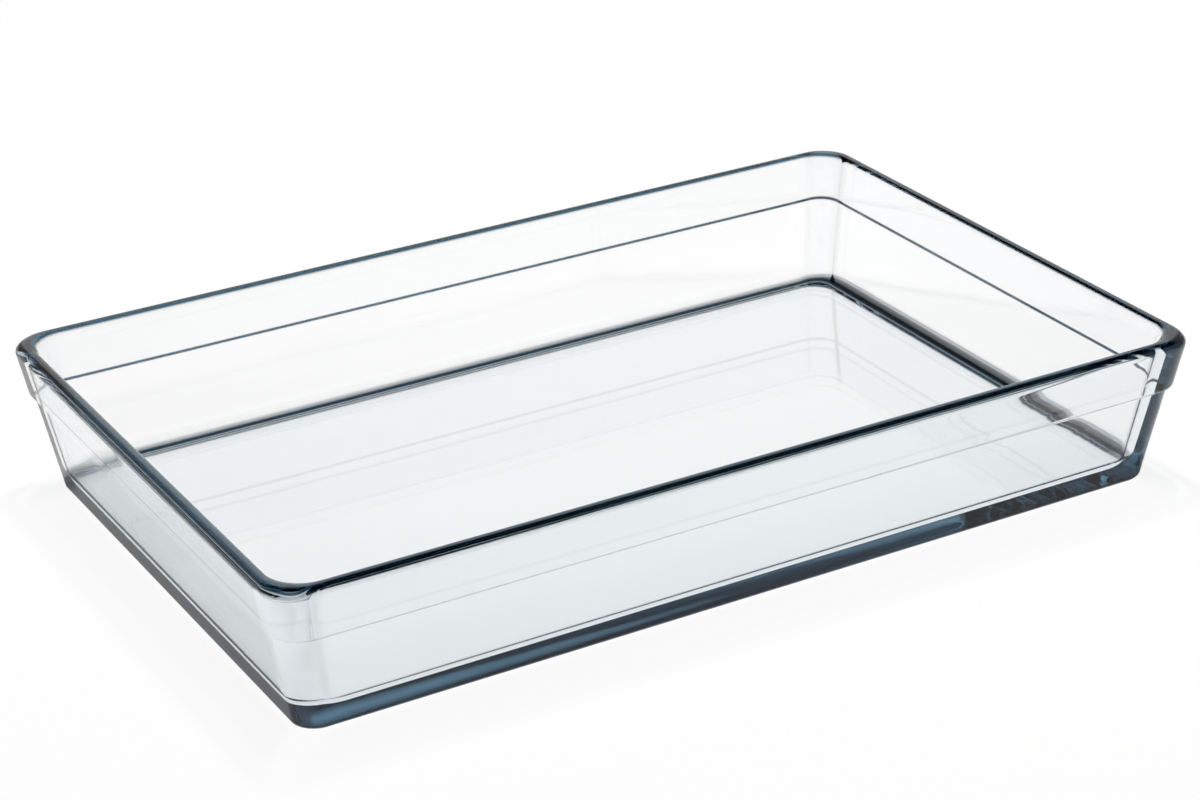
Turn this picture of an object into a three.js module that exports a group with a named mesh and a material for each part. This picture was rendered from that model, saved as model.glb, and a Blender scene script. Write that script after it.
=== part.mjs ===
// A rectangular glass baking dish, pressed in one piece of clear glass.
// Its walls lean outwards, a band round the top stands proud of the wall below it, the rim is
// rounded on both sides, and a small curve leads from the wall into the thick flat base.
// Millimetres, +Z up, X along the dish. The origin is on the table, under the middle of the base.
import * as THREE from "three";

// Overall size
const LENGTH = 400;
const WIDTH = 260;
const HEIGHT = 63.5;

// Glass thickness: the rim and band, measured level, and the floor
const RIM_THICKNESS = 7;
const FLOOR_THICKNESS = 7;

// Lean of the walls from upright, in degrees, outside and inside
const OUTER_DRAFT = 10.1;
const INNER_DRAFT = 10.1;

// The band: its height from the rim to the middle of the ledge, and the ledge under it
const BAND_HEIGHT = 22;
const LEDGE_DEPTH = 1.6;
const LEDGE_DROP = 0.8;

// Rounding of the section's corners
const RIM_ROUND = 3.2;
const LIP_ROUND = 2;
const FOOT_ROUND = 1.5;
const BASE_EDGE_RADIUS = 2.5;
const FLOOR_FILLET = 7;

// Corner radius seen from above: outside at the rim and the base, inside at the mouth and the floor
const RIM_CORNER_RADIUS = 13.2;
const BASE_CORNER_RADIUS = 9.3;
const MOUTH_CORNER_RADIUS = 16;
const FLOOR_CORNER_RADIUS = 12;

// Straight steps in a quarter turn of each curve
const CORNER_STEPS = 12;
const SECTION_STEPS = 9;

// A point of the wall's section: how far it lies inside the rim's outline, and its height.
function sectionPoint(inset, z) {
  return new THREE.Vector2(inset, z);
}

// How far a wall of the given lean moves inwards over a drop.
function leanOver(drop, draft) {
  return drop * Math.tan(THREE.MathUtils.degToRad(draft));
}

// The rim's rounding, held to what its thickness has room for.
function rimRound() {
  const outsideReach = Math.tan(THREE.MathUtils.degToRad(90 + OUTER_DRAFT) / 2);
  const insideReach = Math.tan(THREE.MathUtils.degToRad(90 - INNER_DRAFT) / 2);
  return Math.min(RIM_ROUND, RIM_THICKNESS / (outsideReach + insideReach));
}

// The sharp corner above the rounded rim lies outside the widest point of its curve by this much.
function rimOverhang() {
  const lean = THREE.MathUtils.degToRad(OUTER_DRAFT);
  return rimRound() * ((1 + Math.sin(lean)) / Math.cos(lean) - 1);
}

// The share of the ledge's two roundings that the slope between its corners has room for.
function ledgeRoom() {
  const slope = Math.atan2(LEDGE_DEPTH, LEDGE_DROP);
  const turn = Math.abs(slope - THREE.MathUtils.degToRad(OUTER_DRAFT));
  const needed = (LIP_ROUND + FOOT_ROUND) * Math.tan(turn / 2);
  return Math.min(1, Math.hypot(LEDGE_DEPTH, LEDGE_DROP) / needed);
}

// The section as sharp corners with the radius that rounds each of them,
// from the base, up the outside, over the rim and down the inside to the floor.
// overRim says how far each rounding lies over the rim: 0 is outside, 1 is inside.
function sectionCorners() {
  const ledgeTop = HEIGHT - BAND_HEIGHT + LEDGE_DROP / 2;
  const ledgeFoot = ledgeTop - LEDGE_DROP;
  const rimOutside = -rimOverhang();
  const rimInside = rimOutside + RIM_THICKNESS;
  const bandFoot = rimOutside + leanOver(HEIGHT - ledgeTop, OUTER_DRAFT);
  const wallTop = bandFoot + LEDGE_DEPTH;
  const wallFoot = wallTop + leanOver(ledgeFoot, OUTER_DRAFT);
  const floorEdge = rimInside + leanOver(HEIGHT - FLOOR_THICKNESS, INNER_DRAFT);
  const middle = Math.min(LENGTH, WIDTH) / 2;
  return [
    { at: sectionPoint(middle, 0) },
    { at: sectionPoint(wallFoot, 0), radius: BASE_EDGE_RADIUS, overRim: [0, 0] },
    { at: sectionPoint(wallTop, ledgeFoot), radius: FOOT_ROUND * ledgeRoom(), overRim: [0, 0] },
    { at: sectionPoint(bandFoot, ledgeTop), radius: LIP_ROUND * ledgeRoom(), overRim: [0, 0] },
    { at: sectionPoint(rimOutside, HEIGHT), radius: rimRound(), overRim: [0, 0.5] },
    { at: sectionPoint(rimInside, HEIGHT), radius: rimRound(), overRim: [0.5, 1] },
    { at: sectionPoint(floorEdge, FLOOR_THICKNESS), radius: FLOOR_FILLET, overRim: [1, 1] },
    { at: sectionPoint(middle, FLOOR_THICKNESS) },
  ];
}

// The points of the arc that rounds one corner, from the edge that comes in to the one that leaves.
function roundedCorner(before, corner, after) {
  const back = before.at.clone().sub(corner.at).normalize();
  const ahead = after.at.clone().sub(corner.at).normalize();
  const halfOpening = Math.acos(back.dot(ahead)) / 2;
  const bisector = back.clone().add(ahead).normalize();
  const centre = bisector.clone().multiplyScalar(corner.radius / Math.sin(halfOpening)).add(corner.at);
  const middleSpoke = bisector.clone().multiplyScalar(-corner.radius);
  const turn = Math.sign(back.cross(ahead)) * (Math.PI - 2 * halfOpening);
  const steps = Math.max(2, Math.ceil((SECTION_STEPS * Math.abs(turn)) / (Math.PI / 2)));
  const points = [];
  for (let i = 0; i <= steps; i++) {
    const point = middleSpoke.clone().add(centre);
    points.push(point.rotateAround(centre, turn * (0.5 - i / steps)));
  }
  return points;
}

// The whole section from the edge of the flat base to the edge of the flat floor.
function wallSection() {
  const corners = sectionCorners();
  return corners.slice(1, -1).flatMap((corner, i) => {
    const arc = roundedCorner(corners[i], corner, corners[i + 2]);
    const [first, last] = corner.overRim;
    return arc.map((at, step) => {
      const overRim = THREE.MathUtils.lerp(first, last, step / (arc.length - 1));
      return { at, overRim };
    });
  });
}

// The corner radius of a level ring, with one run of radii outside and another inside.
function cornerRadius(z, overRim) {
  const outsideShare = z / HEIGHT;
  const insideShare = (z - FLOOR_THICKNESS) / (HEIGHT - FLOOR_THICKNESS);
  const outside = THREE.MathUtils.lerp(BASE_CORNER_RADIUS, RIM_CORNER_RADIUS, outsideShare);
  const inside = THREE.MathUtils.lerp(FLOOR_CORNER_RADIUS, MOUTH_CORNER_RADIUS, insideShare);
  return THREE.MathUtils.lerp(outside, inside, overRim);
}

// One level ring round the dish: a rectangle with round corners, counterclockwise from above.
function ringAt({ at, overRim }) {
  const inset = at.x;
  const z = at.y;
  const radius = cornerRadius(z, overRim);
  const straightX = LENGTH / 2 - inset - radius;
  const straightY = WIDTH / 2 - inset - radius;
  const ring = [];
  for (let corner = 0; corner < 4; corner++) {
    const signX = corner === 0 || corner === 3 ? 1 : -1;
    const signY = corner < 2 ? 1 : -1;
    for (let step = 0; step <= CORNER_STEPS; step++) {
      const angle = ((corner + step / CORNER_STEPS) * Math.PI) / 2;
      const x = signX * straightX + radius * Math.cos(angle);
      const y = signY * straightY + radius * Math.sin(angle);
      ring.push(new THREE.Vector3(x, y, z));
    }
  }
  return ring;
}

// The triangles between two neighbouring rings, whose points are numbered one ring after another.
function stripBetween(lower, ringSize) {
  const triangles = [];
  for (let i = 0; i < ringSize; i++) {
    const next = (i + 1) % ringSize;
    const a = lower * ringSize + i;
    const b = lower * ringSize + next;
    triangles.push(a, b, b + ringSize, a, b + ringSize, a + ringSize);
  }
  return triangles;
}

// The flat face that fills a ring, seen from above or from below.
function flatFace(ring, firstIndex, facingUp) {
  const outline = ring.map((p) => new THREE.Vector2(p.x, p.y));
  const faces = THREE.ShapeUtils.triangulateShape(outline, []);
  return faces.flatMap(([a, b, c]) => {
    const order = facingUp ? [a, b, c] : [a, c, b];
    return order.map((index) => index + firstIndex);
  });
}

// The dish: the wall's section carried round the outline, closed by the flat base and floor.
function dishGeometry() {
  const rings = wallSection().map((point) => ringAt(point));
  const ringSize = rings[0].length;
  const last = rings.length - 1;
  const triangles = [];
  for (let i = 0; i < last; i++) {
    triangles.push(...stripBetween(i, ringSize));
  }
  triangles.push(...flatFace(rings[0], 0, false));
  triangles.push(...flatFace(rings[last], last * ringSize, true));
  const geometry = new THREE.BufferGeometry().setFromPoints(rings.flat());
  geometry.setIndex(triangles);
  geometry.computeVertexNormals();
  return geometry;
}

// Clear glass with a faint blue cast.
function clearGlass() {
  return new THREE.MeshStandardMaterial({
    color: 0xdcebf0,
    roughness: 0.03,
    metalness: 0,
    transparent: true,
    opacity: 0.35,
  });
}

const dish = new THREE.Mesh(dishGeometry(), clearGlass());
dish.name = "dish";

const bakingDish = new THREE.Group();
bakingDish.add(dish);

export default bakingDish;
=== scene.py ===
import math

import bpy
from mathutils import Matrix, Vector


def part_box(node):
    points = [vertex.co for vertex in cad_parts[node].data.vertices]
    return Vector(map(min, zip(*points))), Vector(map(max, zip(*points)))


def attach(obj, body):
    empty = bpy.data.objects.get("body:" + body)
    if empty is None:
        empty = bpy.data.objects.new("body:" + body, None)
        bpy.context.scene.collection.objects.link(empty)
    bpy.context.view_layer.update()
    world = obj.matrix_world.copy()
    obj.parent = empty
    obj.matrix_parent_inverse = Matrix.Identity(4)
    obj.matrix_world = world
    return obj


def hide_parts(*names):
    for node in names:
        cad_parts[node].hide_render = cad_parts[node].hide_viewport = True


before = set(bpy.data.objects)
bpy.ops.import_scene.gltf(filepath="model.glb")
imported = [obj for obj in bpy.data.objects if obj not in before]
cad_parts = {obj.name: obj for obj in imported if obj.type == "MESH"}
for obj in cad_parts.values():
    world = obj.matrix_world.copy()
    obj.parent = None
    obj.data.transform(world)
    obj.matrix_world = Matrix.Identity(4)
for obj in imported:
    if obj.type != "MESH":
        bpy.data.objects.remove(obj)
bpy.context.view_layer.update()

# Lengths are in millimetres until a point is placed, as on the part's drawing.
MM = 0.001

# The dish's own sizes, beside the length, width and height that the frame gives
RIM_THICKNESS = 7.0
FLOOR_THICKNESS = 7.0
DRAFT = math.radians(10.1)
BAND_HEIGHT = 22.0
LEDGE_DEPTH = 1.6
LEDGE_DROP = 0.8
RIM_ROUND = 3.2
LIP_ROUND = 2.0
FOOT_ROUND = 1.5
BASE_EDGE_RADIUS = 2.5
FLOOR_FILLET = 7.0
RIM_CORNER_RADIUS = 13.2
BASE_CORNER_RADIUS = 9.3
MOUTH_CORNER_RADIUS = 16.0
FLOOR_CORNER_RADIUS = 12.0

# Fineness of the mesh: steps in a quarter turn, the least in an arc, and the longest straight step
CORNER_STEPS = 40
SECTION_STEPS = 24
LEAST_ARC_STEPS = 6
LONGEST_WALL_STEP = 4.0
LONGEST_SIDE_STEP = 12.0
FLAT_RINGS = 8

# The glass: its refraction, and the colour and strength of what it takes out of long paths
GLASS_IOR = 1.5
GLASS_COLOR = (0.35, 0.55, 0.65, 1)
GLASS_DENSITY = 15.0

# The waves that pressing leaves in the glass: their height, how many fit in a metre level and
# upright, their detail, and the tints between which the skin of the glass drifts with them
WAVE_HEIGHT = 0.05
WAVES_LEVEL = 10.0
WAVES_UPRIGHT = 120.0
WAVE_DETAIL = 2.0
CLEAR_TINT = (1.0, 1.0, 1.0, 1)
FAINT_TINT = (0.98, 0.985, 0.985, 1)

# Painted shade that darkens the base's curve, the ledge and the rim, standing in for the dark
# that the glass bends in there: its colour, and the distances over which it comes in and goes out:
# up from the table, away from the ledge's middle, and down from the rim's top
PAINTED_EDGE_SHADE = (0.004, 0.02, 0.04, 1)
BASE_SHADE_RISE = (0.2, 0.6)
BASE_SHADE_FALL = (2.1, 3.1)
LEDGE_SHADE_FALL = (0.3, 0.6)
RIM_SHADE_FALL = (0.6, 1.3)

# The glass in lamp light: the facings between which its shadow goes from none to full
SHADOW_START = 0.4
SHADOW_END = 0.95

# The floor: its paint, how much of its white is its own for the camera and in the glass, and in
# metres its half width and how far it lies under the dish
FLOOR_PAINT = 0.9
FLOOR_WHITE_SEEN = 0.88
FLOOR_WHITE_GLASS = 0.05
FLOOR_HALF = 6.0
FLOOR_DROP = 0.0005

# The lamp, in watts and metres
LAMP_POWER = 27.5
LAMP_COLOR = (1.0, 0.965, 0.945)
LAMP_SIZE = 0.15
LAMP_PLACE = (0.2, 0.32, 1.6)

# The dim studio, the soft white card behind the dish (its rise, half width and soft edge), how
# bright the cards all round are beside it, and the low pale backdrop (its white, top and soft edge)
STUDIO_COLOR = (0.006, 0.018, 0.032, 1)
CARD_RISE = math.radians(15)
CARD_EDGE = math.radians(18)
CARD_FADE = math.radians(10)
SIDE_CARDS = 0.3
BACKDROP_WHITE = 0.9
BACKDROP_TOP = math.radians(3)
BACKDROP_FADE = math.radians(5)

# How often light may be thrown back or pass on inside the glass before it is dropped
GLASS_BOUNCES = 24

# The camera of the photograph, whose image is 1200 by 800 pixels
IMAGE_WIDTH = 1200
FOCAL_PIXELS = 3093.6
SENSOR_MM = 36.0
AZIMUTH = math.radians(-29.27)
ELEVATION = math.radians(25.15)
ROLL = math.radians(-1.57)
DISTANCE = 1259.9
AIM_RIGHT = 0.1
AIM_UP = 32.3


def dish_size():
    """Length, width and height of the dish in the frame, in millimetres."""
    low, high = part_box("dish")
    size = (high - low) / MM
    return round(size.x, 1), round(size.y, 1), round(size.z, 1)


LENGTH, WIDTH, HEIGHT = dish_size()


def blend(start, end, share):
    """The value at a share of the way from one value to another."""
    return start + (end - start) * share


def rise(value, begins, ends):
    """Goes from 0 to 1 between two values."""
    return min(1.0, max(0.0, (value - begins) / (ends - begins)))


def section_corners():
    """The wall's sharp corners with their radii, from the base over the rim to the floor."""
    lean = math.tan(DRAFT)
    ledge_top = HEIGHT - BAND_HEIGHT + LEDGE_DROP / 2
    ledge_foot = ledge_top - LEDGE_DROP
    rim_outside = RIM_ROUND * (1 - (1 + math.sin(DRAFT)) / math.cos(DRAFT))
    rim_inside = rim_outside + RIM_THICKNESS
    band_foot = rim_outside + (HEIGHT - ledge_top) * lean
    wall_top = band_foot + LEDGE_DEPTH
    wall_foot = wall_top + ledge_foot * lean
    floor_edge = rim_inside + (HEIGHT - FLOOR_THICKNESS) * lean
    middle = WIDTH / 2
    return [
        (Vector((middle, 0)), 0),
        (Vector((wall_foot, 0)), BASE_EDGE_RADIUS),
        (Vector((wall_top, ledge_foot)), FOOT_ROUND),
        (Vector((band_foot, ledge_top)), LIP_ROUND),
        (Vector((rim_outside, HEIGHT)), RIM_ROUND),
        (Vector((rim_inside, HEIGHT)), RIM_ROUND),
        (Vector((floor_edge, FLOOR_THICKNESS)), FLOOR_FILLET),
        (Vector((middle, FLOOR_THICKNESS)), 0),
    ]


def rounded_corner(before, corner, after, radius):
    """The arc that rounds one corner of the section."""
    back = (before - corner).normalized()
    ahead = (after - corner).normalized()
    half_opening = math.acos(back.dot(ahead)) / 2
    bisector = (back + ahead).normalized()
    centre = corner + bisector * (radius / math.sin(half_opening))
    turn = math.copysign(math.pi - 2 * half_opening, back.x * ahead.y - back.y * ahead.x)
    steps = max(LEAST_ARC_STEPS, math.ceil(SECTION_STEPS * abs(turn) / (math.pi / 2)))
    points = []
    for i in range(steps + 1):
        spoke = -bisector * radius
        spoke.rotate(Matrix.Rotation(turn * (0.5 - i / steps), 2))
        points.append(centre + spoke)
    return points


def stepped(points, longest):
    """The same line with long stretches cut into steps."""
    line = [points[0]]
    for start, end in zip(points, points[1:]):
        count = max(1, math.ceil((end - start).length / longest))
        line += [start.lerp(end, (i + 1) / count) for i in range(count)]
    return line


def wall_section():
    """Points of inset, height and share, which runs over the rim from 0 outside to 1 inside."""
    corners = section_corners()
    # How far over the rim the arc at each corner begins and ends
    over_rim = ((0, 0), (0, 0), (0, 0), (0, 0.5), (0.5, 1), (1, 1))
    points = []
    for i, (first, last) in enumerate(over_rim):
        (before, _), (corner, radius), (after, _) = corners[i:i + 3]
        arc = rounded_corner(before, corner, after, radius)
        for step, point in enumerate(arc):
            share = blend(first, last, step / (len(arc) - 1))
            points.append(Vector((point.x, point.y, share)))
    return stepped(points, LONGEST_WALL_STEP)


def corner_radius(height, share):
    """The radius of a ring's corners: one run of radii outside, another inside."""
    outside = blend(BASE_CORNER_RADIUS, RIM_CORNER_RADIUS, height / HEIGHT)
    depth = HEIGHT - FLOOR_THICKNESS
    inside = blend(FLOOR_CORNER_RADIUS, MOUTH_CORNER_RADIUS, (height - FLOOR_THICKNESS) / depth)
    return blend(outside, inside, share)


def ring_at(inset, height, share):
    """One level ring round the dish, counterclockwise from above, in metres."""
    radius = corner_radius(height, share)
    straight_x = LENGTH / 2 - inset - radius
    straight_y = WIDTH / 2 - inset - radius
    ring = []
    for quarter, (sign_x, sign_y) in enumerate(((1, 1), (-1, 1), (-1, -1), (1, -1))):
        for step in range(CORNER_STEPS + 1):
            angle = (quarter + step / CORNER_STEPS) * math.pi / 2
            x = sign_x * straight_x + radius * math.cos(angle)
            y = sign_y * straight_y + radius * math.sin(angle)
            ring.append((x, y))
        side = WIDTH if quarter % 2 else LENGTH
        ring += side_points(ring[-1], quarter, straight_x, straight_y, radius, side)
    return [Vector((x * MM, y * MM, height * MM)) for x, y in ring]


def side_points(start, quarter, straight_x, straight_y, radius, side):
    """Points along the straight side after a corner, without its two ends."""
    ends = (
        (-straight_x, straight_y + radius),
        (-straight_x - radius, -straight_y),
        (straight_x, -straight_y - radius),
        (straight_x + radius, straight_y),
    )
    first = Vector(start)
    last = Vector(ends[quarter])
    count = math.ceil(side / LONGEST_SIDE_STEP)
    return [tuple(first.lerp(last, i / count)) for i in range(1, count)]


def flat_rings(edge):
    """Rings that shrink from the edge of a flat face towards its middle."""
    rings = []
    for i in range(1, FLAT_RINGS):
        share = 1 - i / FLAT_RINGS
        rings.append([Vector((p.x * share, p.y * share, p.z)) for p in edge])
    return rings


def edge_shade_share(height, share):
    """How much painted shade a level of the section gets at the base's curve, the ledge and the
    rim.
    """
    base = rise(height, *BASE_SHADE_RISE) - rise(height, *BASE_SHADE_FALL)
    from_ledge = abs(height - (HEIGHT - BAND_HEIGHT))
    ledge = (1 - rise(from_ledge, *LEDGE_SHADE_FALL)) * (1 - share)
    rim = 1 - rise(HEIGHT - height, *RIM_SHADE_FALL)
    return max(base, ledge, rim)


def ring_faces(ring_count, size):
    """The faces between neighbouring rings, and those that close the first and the last one."""
    faces = []
    for level in range(ring_count - 1):
        for i in range(size):
            a = level * size + i
            b = level * size + (i + 1) % size
            faces.append((a, b, b + size, a + size))
    last = (ring_count - 1) * size
    faces.append(tuple(reversed(range(size))))
    faces.append(tuple(range(last, last + size)))
    return faces


def dish_mesh():
    """The closed mesh of the dish, with each point's share of the painted shade stored on it."""
    section = wall_section()
    walls = [ring_at(point.x, point.y, point.z) for point in section]
    rings = list(reversed(flat_rings(walls[0]))) + walls + flat_rings(walls[-1])
    size = len(rings[0])
    points = [point for ring in rings for point in ring]
    mesh = bpy.data.meshes.new("glass_dish")
    mesh.from_pydata(points, [], ring_faces(len(rings), size))
    mesh.polygons.foreach_set("use_smooth", [True] * len(mesh.polygons))
    flat_shares = [0.0] * (FLAT_RINGS - 1)
    # Each point's share of painted shade at the base's curve, the ledge and the rim
    wall_shares = [edge_shade_share(point.y, point.z) for point in section]
    shares = flat_shares + wall_shares + flat_shares
    painted_shade = mesh.attributes.new("painted_shade", "FLOAT", "POINT")
    painted_shade.data.foreach_set("value", [share for share in shares for _ in range(size)])
    mesh.update()
    return mesh


def glass_material():
    """Clear wavy glass, darkened by painted shade at rim, ledge and base, that takes out colour
    through its depth.
    """
    material = bpy.data.materials.new("pressed_glass")
    material.use_nodes = True
    nodes = material.node_tree.nodes
    links = material.node_tree.links
    shader = nodes["Principled BSDF"]
    shader.inputs["Transmission Weight"].default_value = 1.0
    shader.inputs["IOR"].default_value = GLASS_IOR
    shader.inputs["Roughness"].default_value = 0.0
    waves = pressed_waves(nodes, links)
    tone_and_shade = nodes.new("ShaderNodeVectorMath")
    tone_and_shade.operation = "MULTIPLY"
    links.new(drifting_tint(nodes, links, waves), tone_and_shade.inputs[0])
    # Painted shade at the rim, ledge and base curve darkens the skin's colour here
    links.new(painted_edge_shade(nodes, links), tone_and_shade.inputs[1])
    links.new(tone_and_shade.outputs["Vector"], shader.inputs["Base Color"])
    links.new(wave_normal(nodes, links, waves), shader.inputs["Normal"])
    absorption = nodes.new("ShaderNodeVolumeAbsorption")
    absorption.inputs["Color"].default_value = GLASS_COLOR
    absorption.inputs["Density"].default_value = GLASS_DENSITY
    links.new(absorption.outputs["Volume"], nodes["Material Output"].inputs["Volume"])
    path = nodes.new("ShaderNodeLightPath")
    by_ray = nodes.new("ShaderNodeMixShader")
    links.new(path.outputs["Is Shadow Ray"], by_ray.inputs["Fac"])
    links.new(shader.outputs[0], by_ray.inputs[1])
    links.new(clear_shadow(nodes, links), by_ray.inputs[2])
    links.new(by_ray.outputs[0], nodes["Material Output"].inputs["Surface"])
    return material


def pressed_waves(nodes, links):
    """The faint waves that the mould leaves in pressed glass, drawn out along the walls."""
    place = nodes.new("ShaderNodeTexCoord")
    stretch = nodes.new("ShaderNodeMapping")
    stretch.inputs["Scale"].default_value = (WAVES_LEVEL, WAVES_LEVEL, WAVES_UPRIGHT)
    links.new(place.outputs["Object"], stretch.inputs["Vector"])
    noise = nodes.new("ShaderNodeTexNoise")
    noise.inputs["Scale"].default_value = 1.0
    noise.inputs["Detail"].default_value = WAVE_DETAIL
    links.new(stretch.outputs["Vector"], noise.inputs["Vector"])
    return noise.outputs["Fac"]


def drifting_tint(nodes, links, waves):
    """A skin colour that drifts a little along the waves."""
    ramp = nodes.new("ShaderNodeValToRGB")
    ramp.color_ramp.elements[0].color = CLEAR_TINT
    ramp.color_ramp.elements[1].color = FAINT_TINT
    links.new(waves, ramp.inputs["Fac"])
    return ramp.outputs["Color"]


def painted_edge_shade(nodes, links):
    """Painted shade that darkens the base's curve, the ledge and the rim."""
    painted_shade = nodes.new("ShaderNodeAttribute")
    painted_shade.attribute_name = "painted_shade"
    ramp = nodes.new("ShaderNodeValToRGB")
    ramp.color_ramp.elements[0].color = CLEAR_TINT
    ramp.color_ramp.elements[1].color = PAINTED_EDGE_SHADE
    links.new(painted_shade.outputs["Fac"], ramp.inputs["Fac"])
    return ramp.outputs["Color"]


def wave_normal(nodes, links, waves):
    """The direction of the surface, bent a little by the waves."""
    bump = nodes.new("ShaderNodeBump")
    bump.inputs["Strength"].default_value = 1.0
    bump.inputs["Distance"].default_value = WAVE_HEIGHT * MM
    links.new(waves, bump.inputs["Height"])
    return bump.outputs["Normal"]


def clear_shadow(nodes, links):
    """Lets lamp light through to the floor, less where it meets the glass at a flat angle."""
    angle = nodes.new("ShaderNodeLayerWeight")
    ramp = nodes.new("ShaderNodeMapRange")
    ramp.interpolation_type = "SMOOTHSTEP"
    ramp.inputs["From Min"].default_value = SHADOW_START
    ramp.inputs["From Max"].default_value = SHADOW_END
    ramp.inputs["To Min"].default_value = 1.0
    ramp.inputs["To Max"].default_value = 0.0
    links.new(angle.outputs["Facing"], ramp.inputs["Value"])
    clear = nodes.new("ShaderNodeBsdfTransparent")
    links.new(ramp.outputs[0], clear.inputs["Color"])
    return clear.outputs[0]


def make_dish():
    dish = bpy.data.objects.new("glass_dish", dish_mesh())
    bpy.context.scene.collection.objects.link(dish)
    dish.data.materials.append(glass_material())
    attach(dish, "root")
    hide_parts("dish")


def floor_material():
    """Pale paint that keeps the dish's shadow, with some white of its own."""
    material = bpy.data.materials.new("pale_floor")
    material.use_nodes = True
    nodes = material.node_tree.nodes
    links = material.node_tree.links
    nodes.remove(nodes["Principled BSDF"])
    diffuse = nodes.new("ShaderNodeBsdfDiffuse")
    diffuse.inputs["Color"].default_value = (FLOOR_PAINT, FLOOR_PAINT, FLOOR_PAINT, 1)
    white = nodes.new("ShaderNodeEmission")
    by_ray = nodes.new("ShaderNodeMixShader")
    links.new(white_share(nodes, links), by_ray.inputs["Fac"])
    links.new(diffuse.outputs[0], by_ray.inputs[1])
    links.new(white.outputs[0], by_ray.inputs[2])
    links.new(by_ray.outputs[0], nodes["Material Output"].inputs["Surface"])
    return material


def white_share(nodes, links):
    """How much of the floor's white is its own, by the kind of ray that sees it."""
    path = nodes.new("ShaderNodeLightPath")
    through_glass = nodes.new("ShaderNodeMath")
    through_glass.operation = "MAXIMUM"
    links.new(path.outputs["Is Glossy Ray"], through_glass.inputs[0])
    links.new(path.outputs["Is Transmission Ray"], through_glass.inputs[1])
    in_glass = nodes.new("ShaderNodeMath")
    in_glass.operation = "MULTIPLY"
    in_glass.inputs[1].default_value = FLOOR_WHITE_GLASS
    links.new(through_glass.outputs[0], in_glass.inputs[0])
    share = nodes.new("ShaderNodeMath")
    share.operation = "MULTIPLY_ADD"
    share.inputs[1].default_value = FLOOR_WHITE_SEEN
    links.new(path.outputs["Is Camera Ray"], share.inputs[0])
    links.new(in_glass.outputs[0], share.inputs[2])
    return share.outputs[0]


def make_floor():
    mesh = bpy.data.meshes.new("floor")
    signs = ((-1, -1), (1, -1), (1, 1), (-1, 1))
    corners = [(x * FLOOR_HALF, y * FLOOR_HALF, -FLOOR_DROP) for x, y in signs]
    mesh.from_pydata(corners, [], [(0, 1, 2, 3)])
    floor = bpy.data.objects.new("floor", mesh)
    bpy.context.scene.collection.objects.link(floor)
    mesh.materials.append(floor_material())


def make_world():
    """A dim studio with soft cards round the dish and a low pale backdrop where the floor ends."""
    world = bpy.data.worlds.new("studio")
    bpy.context.scene.world = world
    world.use_nodes = True
    nodes = world.node_tree.nodes
    links = world.node_tree.links
    direction = nodes.new("ShaderNodeTexCoord").outputs["Generated"]
    side_cards = belt(nodes, links, direction, SIDE_CARDS, CARD_RISE + CARD_EDGE, CARD_FADE)
    backdrop = belt(nodes, links, direction, BACKDROP_WHITE, BACKDROP_TOP, BACKDROP_FADE)
    cards = nodes.new("ShaderNodeMath")
    cards.operation = "MAXIMUM"
    links.new(back_card(nodes, links, direction), cards.inputs[0])
    links.new(side_cards, cards.inputs[1])
    white = nodes.new("ShaderNodeMath")
    white.operation = "MAXIMUM"
    links.new(backdrop, white.inputs[0])
    links.new(cards.outputs[0], white.inputs[1])
    shade = nodes.new("ShaderNodeValToRGB")
    shade.color_ramp.elements[0].color = STUDIO_COLOR
    links.new(white.outputs[0], shade.inputs["Fac"])
    links.new(shade.outputs["Color"], nodes["Background"].inputs["Color"])


def back_card(nodes, links, direction):
    """The round white card behind the dish as the photograph sees it."""
    level = math.cos(CARD_RISE)
    card = (-math.sin(AZIMUTH) * level, math.cos(AZIMUTH) * level, math.sin(CARD_RISE))
    nearness = nodes.new("ShaderNodeVectorMath")
    nearness.operation = "DOT_PRODUCT"
    nearness.inputs[1].default_value = card
    links.new(direction, nearness.inputs[0])
    ramp = nodes.new("ShaderNodeMapRange")
    ramp.interpolation_type = "SMOOTHSTEP"
    ramp.inputs["From Min"].default_value = math.cos(CARD_EDGE + CARD_FADE)
    ramp.inputs["From Max"].default_value = math.cos(CARD_EDGE)
    links.new(nearness.outputs["Value"], ramp.inputs["Value"])
    return ramp.outputs[0]


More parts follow.
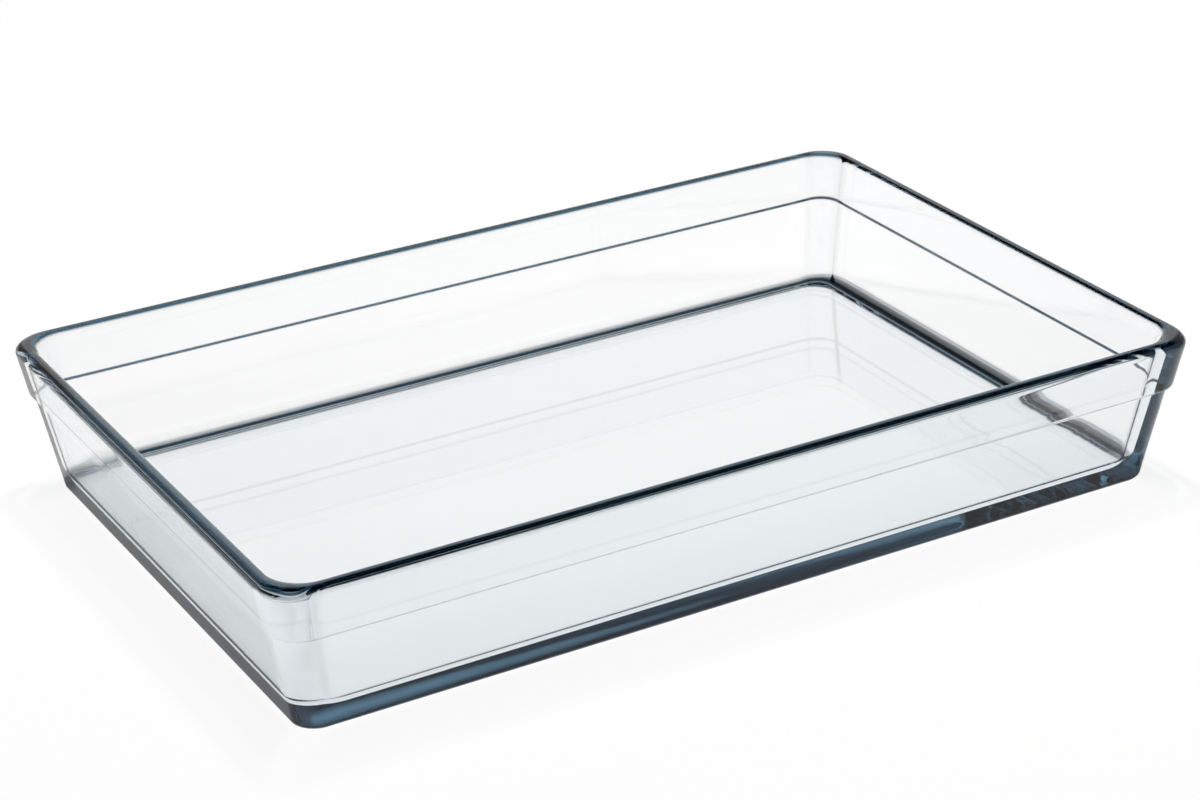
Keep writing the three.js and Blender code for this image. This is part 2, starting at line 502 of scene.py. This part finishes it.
def belt(nodes, links, direction, brightness, top, fade):
    """A belt all round that is bright up to its top and fades out above it."""
    axes = nodes.new("ShaderNodeSeparateXYZ")
    links.new(direction, axes.inputs["Vector"])
    ramp = nodes.new("ShaderNodeMapRange")
    ramp.interpolation_type = "SMOOTHSTEP"
    ramp.inputs["From Min"].default_value = math.sin(top)
    ramp.inputs["From Max"].default_value = math.sin(top + fade)
    ramp.inputs["To Min"].default_value = brightness
    ramp.inputs["To Max"].default_value = 0.0
    links.new(axes.outputs["Z"], ramp.inputs["Value"])
    return ramp.outputs[0]


def make_lamp():
    """One soft lamp above the dish, turned to its middle, that the glass doesn't mirror."""
    data = bpy.data.lights.new("key", "AREA")
    data.shape = "DISK"
    data.size = LAMP_SIZE
    data.energy = LAMP_POWER
    data.color = LAMP_COLOR
    lamp = bpy.data.objects.new("key", data)
    lamp.location = LAMP_PLACE
    lamp.rotation_euler = Vector(LAMP_PLACE).to_track_quat("Z", "Y").to_euler()
    lamp.visible_glossy = False
    lamp.visible_transmission = False
    bpy.context.scene.collection.objects.link(lamp)


def make_camera():
    """The photograph's camera, from its direction, roll, distance and aim."""
    data = bpy.data.cameras.new("camera")
    data.sensor_width = SENSOR_MM
    data.lens = FOCAL_PIXELS / IMAGE_WIDTH * SENSOR_MM
    camera = bpy.data.objects.new("camera", data)
    level = Vector((math.sin(AZIMUTH), -math.cos(AZIMUTH), 0))
    back = level * math.cos(ELEVATION) + Vector((0, 0, math.sin(ELEVATION)))
    right = Vector((math.cos(AZIMUTH), math.sin(AZIMUTH), 0))
    up = back.cross(right)
    tilt = Matrix.Rotation(ROLL, 3, back)
    right = tilt @ right
    up = tilt @ up
    eye = (back * DISTANCE + right * AIM_RIGHT + up * AIM_UP) * MM
    turn = Matrix((right, up, back)).transposed()
    camera.matrix_world = Matrix.Translation(eye) @ turn.to_4x4()
    bpy.context.scene.collection.objects.link(camera)
    bpy.context.scene.camera = camera


make_dish()
make_floor()
make_world()
make_lamp()
make_camera()
scene = bpy.context.scene
scene.view_settings.view_transform = "Standard"
scene.cycles.max_bounces = GLASS_BOUNCES
scene.cycles.glossy_bounces = GLASS_BOUNCES
scene.cycles.transmission_bounces = GLASS_BOUNCES
